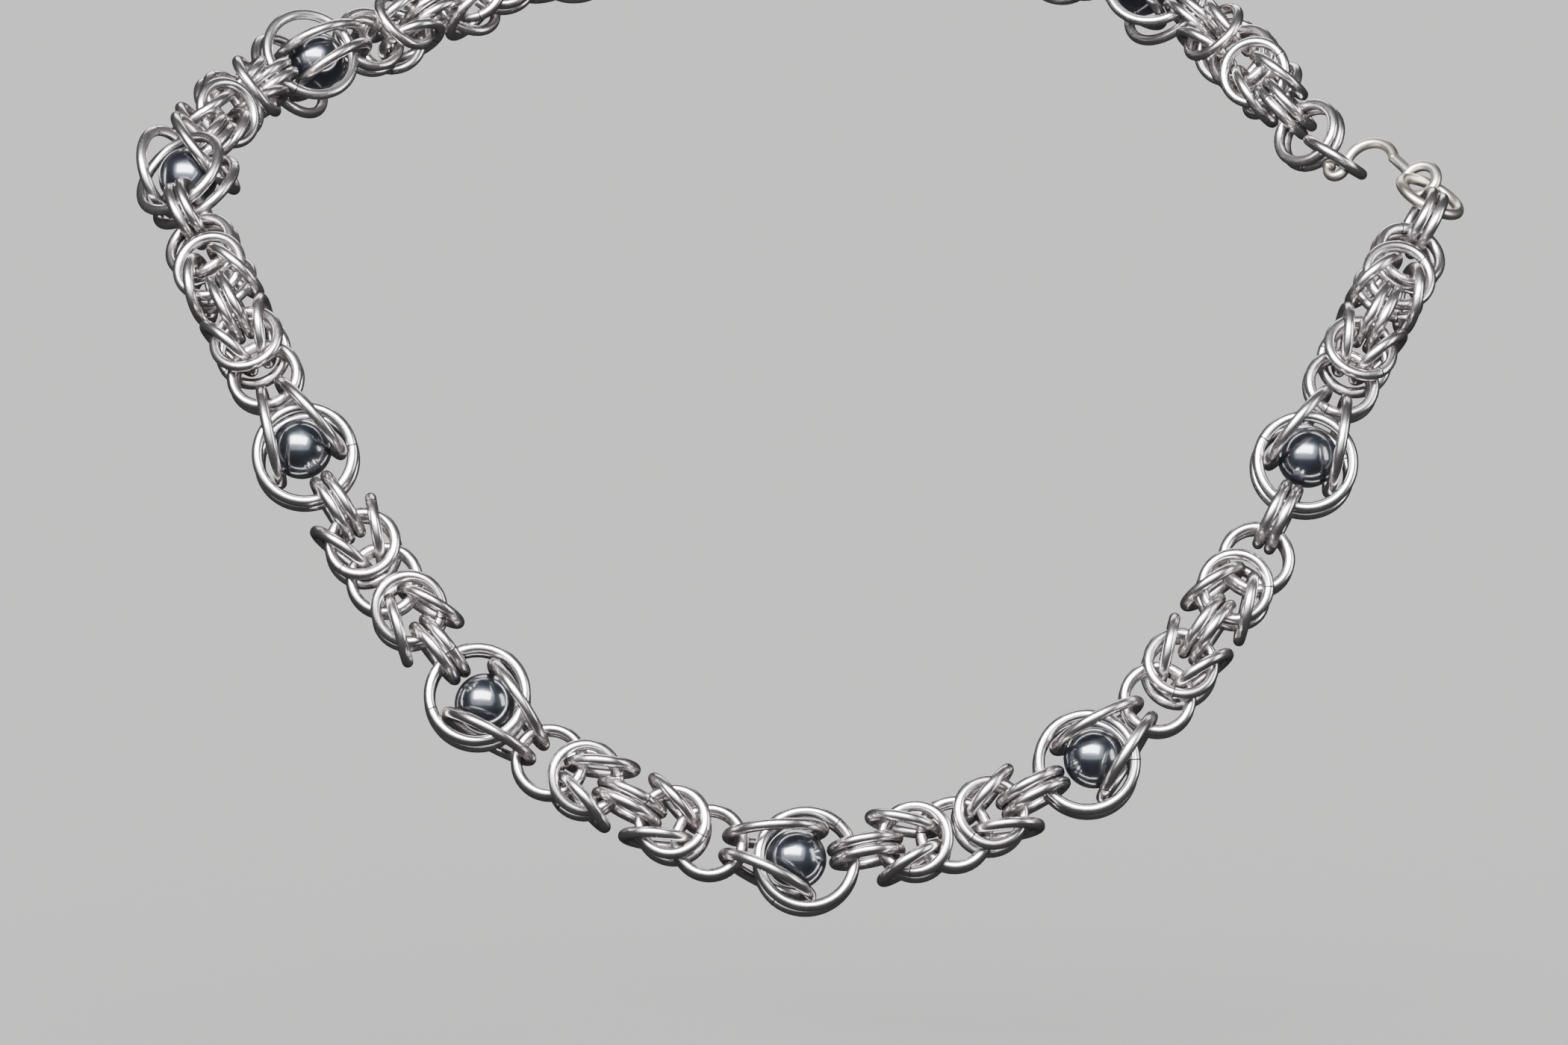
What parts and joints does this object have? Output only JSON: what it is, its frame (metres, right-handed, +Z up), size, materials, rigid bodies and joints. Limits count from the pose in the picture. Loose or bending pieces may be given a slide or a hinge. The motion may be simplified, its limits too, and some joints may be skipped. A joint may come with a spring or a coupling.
{
  "type": "byzantine chain necklace",
  "caption": "Byzantine chain necklace of steel jump rings with dark caged beads and a hook clasp, closed in the form it has round a neck",
  "frame": {"origin": "The middle of the chain at the nape, on its centre line, where the back of the wearer's neck carries it", "axes": "+Z up, -Y towards the front of the necklace, +X towards the wearer's left"},
  "size_m": [0.179, 0.1283, 0.1344],
  "materials": {
    "steel_rings": "polished stainless steel, bright and slightly warm, with fine butt seams",
    "clasp_steel": "polished steel, slightly warmer than the rings",
    "beads": "glossy blue-black hematite stone"
  },
  "bodies": {
    "root": {"byzantine_chain_front": "steel_rings", "byzantine_chain_back": "steel_rings", "clasp_ring": "clasp_steel", "clasp_hook": "clasp_steel", "catch_ring": "steel_rings", "bead_1": "beads", "bead_2": "beads", "bead_3": "beads", "bead_4": "beads", "bead_5": "beads", "bead_6": "beads", "bead_7": "beads", "bead_8": "beads", "bead_9": "beads", "bead_10": "beads", "cage_1": "steel_rings", "cage_2": "steel_rings", "cage_3": "steel_rings", "cage_4": "steel_rings", "cage_5": "steel_rings", "cage_6": "steel_rings", "cage_7": "steel_rings", "cage_8": "steel_rings", "cage_9": "steel_rings", "cage_10": "steel_rings"}
  },
  "joints": []
}
